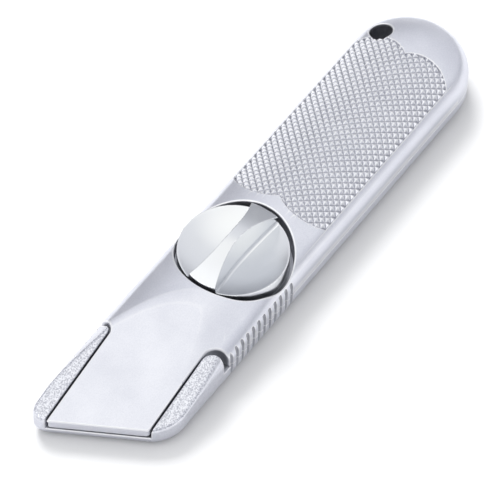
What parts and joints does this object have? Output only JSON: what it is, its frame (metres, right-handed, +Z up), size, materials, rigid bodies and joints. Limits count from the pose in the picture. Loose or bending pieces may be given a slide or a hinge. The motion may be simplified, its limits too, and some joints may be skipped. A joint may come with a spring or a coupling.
{
  "type": "utility knife",
  "caption": "Fixed utility knife of two cast metal shells with a crowned checkered grip, slanted nose ramp, winged quarter-turn clamp knob, trapezoid blades and a hanging hole.",
  "frame": {"origin": "under the middle of the knife, on the flat bottom it rests on", "axes": "+X from the slanted nose to the round tail, +Y towards the blade's cutting edge, +Z up out of the crowned cover"},
  "size_m": [0.152, 0.0308, 0.0213],
  "materials": {
    "cast_cover": "fine sand-cast satin silver",
    "cast_base": "satin silver with coarse cast grain on the nose rails",
    "chrome_knob": "polished, bright plated",
    "turned_steel": "turned, zinc plated",
    "spring_steel": "tempered spring steel",
    "blade_steel": "ground across the cutting edge"
  },
  "bodies": {
    "base": {"base_shell": "cast_base", "lock_wire_spring": "spring_steel", "wire_spring_rivets": "turned_steel", "blade_stop_pins": "turned_steel", "spare_blade_1": "blade_steel", "spare_blade_2": "blade_steel", "spare_blade_3": "blade_steel", "spare_blade_4": "blade_steel", "spare_blade_5": "blade_steel", "blade_leaf_spring": "spring_steel", "leaf_spring_washer": "turned_steel", "leaf_spring_screw": "turned_steel", "locating_dowels": "turned_steel"},
    "cover": {"cover_shell": "cast_cover", "flat_washer": "turned_steel"},
    "knob": {"clamp_knob": "chrome_knob", "knob_stud": "turned_steel", "disc_spring": "spring_steel", "stud_retaining_clip": "spring_steel"},
    "blade": {"working_blade": "blade_steel"}
  },
  "joints": [
    {"name": "cover_lift", "type": "slide", "parent": "base", "child": "cover", "axis": [0, 0, 1], "range_m": [0, 0.028]},
    {"name": "knob_turn", "type": "hinge", "parent": "cover", "child": "knob", "pos_m": [-0.0145, 0, 0.012], "axis": [0, 0, 1], "range_deg": [0, 90], "deforming": ["lock_wire_spring"]},
    {"name": "blade_slide", "type": "slide", "parent": "base", "child": "blade", "axis": [-1, 0, 0], "range_m": [0, 0.024]}
  ]
}
